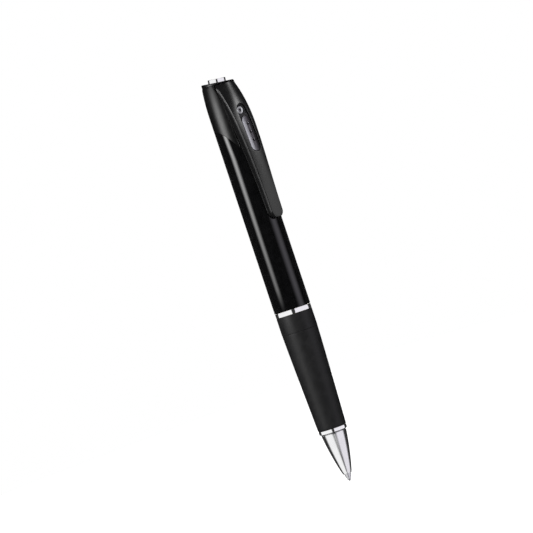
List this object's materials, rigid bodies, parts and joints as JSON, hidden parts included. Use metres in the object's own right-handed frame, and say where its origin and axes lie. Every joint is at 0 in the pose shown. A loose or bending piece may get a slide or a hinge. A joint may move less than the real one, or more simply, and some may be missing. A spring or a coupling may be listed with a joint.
{
  "type": "ballpoint pen with hidden camera",
  "caption": "Slim ballpoint pen whose clipped head hides a camera: pinned clip, sliding lens cover, push button, unscrewing lower half with rubber grip, refill and chrome cone.",
  "frame": {"origin": "the writing point, on the pen's axis", "axes": "+Z along the pen's axis from the writing point to the push button; -Y is the side of the clip and of the lens; +X to the right seen from the clip side"},
  "size_m": [0.0132, 0.0158, 0.1484],
  "materials": {
    "head_black": "satin black moulding",
    "barrel_black": "gloss black lacquer on brass",
    "chrome_trim": "polished",
    "brass_collar": "turned",
    "black_moulding": "matte",
    "steel": "plain",
    "lens_silver": "satin",
    "lens_clear": "coated",
    "circuit_board": "solder mask",
    "flex_film": "polyimide film",
    "chip_black": "moulded",
    "battery_foil": "foil pouch",
    "lead_red": "insulated wire",
    "usb_steel": "plated",
    "contact_gold": "gold flash",
    "led_clear": "clear",
    "plunger_white": "matte",
    "clip_grey": "satin dark grey",
    "guide_black": "blackened spring steel",
    "cover_gunmetal": "satin metallic grey",
    "tube_metal": "turned",
    "grip_rubber": "matt",
    "refill_plastic": "translucent",
    "refill_brass": "turned",
    "ball_carbide": "polished",
    "ink_blue": "paste"
  },
  "bodies": {
    "upper_half": {"head_shell": "head_black", "upper_barrel": "barrel_black", "middle_ring": "chrome_trim", "threaded_collar": "brass_collar", "port_plate": "black_moulding", "clip_hinge_pin": "steel", "clip_spring": "steel", "lens_bezel": "lens_silver", "lens_glass": "lens_clear", "lens_barrel": "black_moulding", "sensor_holder": "black_moulding", "camera_board": "circuit_board", "camera_flex": "flex_film", "main_board": "circuit_board", "processor_chip": "chip_black", "memory_chip": "chip_black", "crystal": "steel", "microphone": "steel", "battery": "battery_foil", "battery_leads": "lead_red", "usb_shell": "usb_steel", "usb_tongue": "black_moulding", "usb_contacts": "contact_gold", "switch_board": "circuit_board", "button_switch": "steel", "status_led": "led_clear", "switch_flex": "flex_film"},
    "button": {"push_button": "chrome_trim", "switch_plunger": "plunger_white"},
    "clip": {"pocket_clip": "clip_grey", "cover_guide": "guide_black"},
    "cover": {"lens_cover": "cover_gunmetal", "cover_studs": "steel"},
    "lower_half": {"grip_tube": "tube_metal", "rubber_grip": "grip_rubber", "lower_ring": "chrome_trim", "refill_holder": "black_moulding"},
    "cone": {"tip_cone": "chrome_trim"},
    "refill": {"refill_tube": "refill_plastic", "refill_nose": "refill_brass", "refill_ball": "ball_carbide", "refill_ink": "ink_blue"}
  },
  "joints": [
    {"name": "button_press", "type": "slide", "parent": "upper_half", "child": "button", "axis": [0, 0.1582, -0.9874], "range_m": [0, 0.0005], "stiffness_N_per_m": 3000, "springref_m": -0.0002},
    {"name": "clip_open", "type": "hinge", "parent": "upper_half", "child": "clip", "pos_m": [0, -0.0027, 0.139], "axis": [-1, 0, 0], "range_deg": [0, 2.5], "stiffness_Nm_per_rad": 1.5, "springref_deg": -2.29},
    {"name": "cover_slide", "type": "slide", "parent": "clip", "child": "cover", "axis": [0, 0.0718, 0.9974], "range_m": [0, 0.0044]},
    {"name": "lower_half_off", "type": "slide", "parent": "upper_half", "child": "lower_half", "axis": [0, 0, -1], "range_m": [0, 0.03]},
    {"name": "cone_off", "type": "slide", "parent": "lower_half", "child": "cone", "axis": [0, 0, -1], "range_m": [0, 0.1]},
    {"name": "refill_out", "type": "slide", "parent": "lower_half", "child": "refill", "axis": [0, 0, -1], "range_m": [0, 0.06]}
  ],
  "couplings": [
    {"joint": "refill_out", "follows": "cone_off", "ratio": 0.58}
  ]
}
